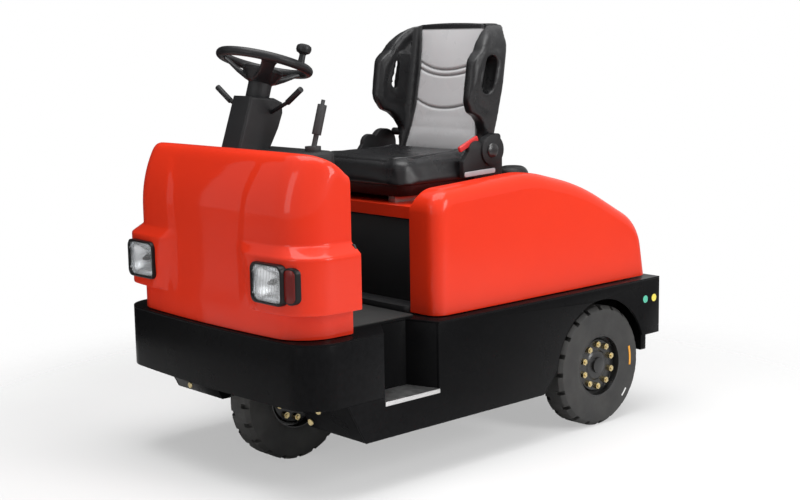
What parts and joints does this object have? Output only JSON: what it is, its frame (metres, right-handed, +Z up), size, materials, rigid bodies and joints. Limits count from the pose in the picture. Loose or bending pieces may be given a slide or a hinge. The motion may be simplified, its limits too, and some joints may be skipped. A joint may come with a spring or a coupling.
{
  "type": "electric tow tractor",
  "caption": "Three-wheeled ride-on electric tow tractor with a red cowl and hood, a black chassis, a bucket seat with grip holes and a rear tow coupling.",
  "frame": {"origin": "on the ground, below the middle of the overall length and width", "axes": "+Z up, +X to the driver's left, +Y to the rear; the front faces -Y"},
  "size_m": [0.976, 1.656, 1.358],
  "materials": {
    "body_red": "gloss",
    "chassis_black": "satin",
    "tread_steel": "satin",
    "battery_grey": "satin",
    "panel_black": "satin",
    "bezel_black": "gloss",
    "lamp_glass": "gloss",
    "marker_red": "gloss",
    "dash_black": "satin",
    "column_black": "satin",
    "grip_black": "matte",
    "pedal_black": "matte",
    "mat_rubber": "matte",
    "axle_iron": "satin",
    "coupling_iron": "satin",
    "pin_steel": "satin",
    "hinge_steel": "satin",
    "wheel_rim_black": "satin",
    "tyre_rubber": "matte",
    "rim_black": "gloss",
    "rail_steel": "satin",
    "seat_shell": "satin",
    "seat_vinyl": "satin",
    "seat_plastic": "satin",
    "buckle_red": "gloss"
  },
  "bodies": {
    "chassis": {"floor_plate": "chassis_black", "front_bumper": "chassis_black", "side_skirt_left": "chassis_black", "side_skirt_right": "chassis_black", "step_wells": "chassis_black", "step_treads": "tread_steel", "front_frame_boxes": "chassis_black", "belly_plate": "chassis_black", "frame_rails": "chassis_black", "rear_frame_plate": "chassis_black", "battery_block": "battery_grey", "bay_front_panel": "panel_black", "bay_sill": "panel_black", "front_cowl": "body_red", "headlamp_housings": "bezel_black", "headlamp_lenses": "lamp_glass", "marker_lenses": "marker_red", "dash_panel": "panel_black", "dash_console": "dash_black", "column_cover": "column_black", "column_neck": "column_black", "column_stalks": "column_black", "handbrake_lever": "grip_black", "pedals": "pedal_black", "floor_mat": "mat_rubber", "steering_turntable": "axle_iron", "rear_axle": "axle_iron", "drive_motor": "axle_iron", "tow_coupling": "coupling_iron", "tow_pin": "pin_steel", "hood_hinges": "hinge_steel"},
    "steering_wheel": {"steering_wheel": "wheel_rim_black", "steering_knob": "wheel_rim_black"},
    "steering_fork": {"steering_fork": "axle_iron"},
    "front_wheel": {"front_tyre": "tyre_rubber", "front_rim": "rim_black"},
    "rear_wheel_left": {"rear_tyre_left": "tyre_rubber", "rear_rim_left": "rim_black"},
    "rear_wheel_right": {"rear_tyre_right": "tyre_rubber", "rear_rim_right": "rim_black"},
    "hood": {"rear_hood": "body_red", "hood_hinge_leaves": "hinge_steel", "seat_rails": "rail_steel", "seat_pan": "seat_shell", "seat_cushion": "seat_vinyl", "seat_backrest": "seat_vinyl", "seat_brackets": "seat_plastic", "belt_buckle": "buckle_red", "belt_retractor": "seat_plastic"}
  },
  "joints": [
    {"name": "front_steer", "type": "hinge", "parent": "chassis", "child": "steering_fork", "pos_m": [0, -0.5, 0.441], "axis": [0, 0, 1], "range_deg": [-75, 75]},
    {"name": "front_wheel_spin", "type": "hinge", "parent": "steering_fork", "child": "front_wheel", "pos_m": [0, -0.5, 0.205], "axis": [1, 0, 0], "continuous": true},
    {"name": "rear_wheel_left_spin", "type": "hinge", "parent": "chassis", "child": "rear_wheel_left", "pos_m": [0.431, 0.46, 0.205], "axis": [1, 0, 0], "continuous": true},
    {"name": "rear_wheel_right_spin", "type": "hinge", "parent": "chassis", "child": "rear_wheel_right", "pos_m": [-0.431, 0.46, 0.205], "axis": [1, 0, 0], "continuous": true},
    {"name": "steering_wheel_turn", "type": "hinge", "parent": "chassis", "child": "steering_wheel", "pos_m": [0, -0.56, 1.248], "axis": [0, 0.2924, 0.9563], "range_deg": [-375, 375]},
    {"name": "hood_tilt", "type": "hinge", "parent": "chassis", "child": "hood", "pos_m": [0, 0.777, 0.482], "axis": [-1, 0, 0], "range_deg": [0, 50]}
  ],
  "couplings": [
    {"joint": "steering_wheel_turn", "follows": "front_steer", "ratio": 5}
  ]
}
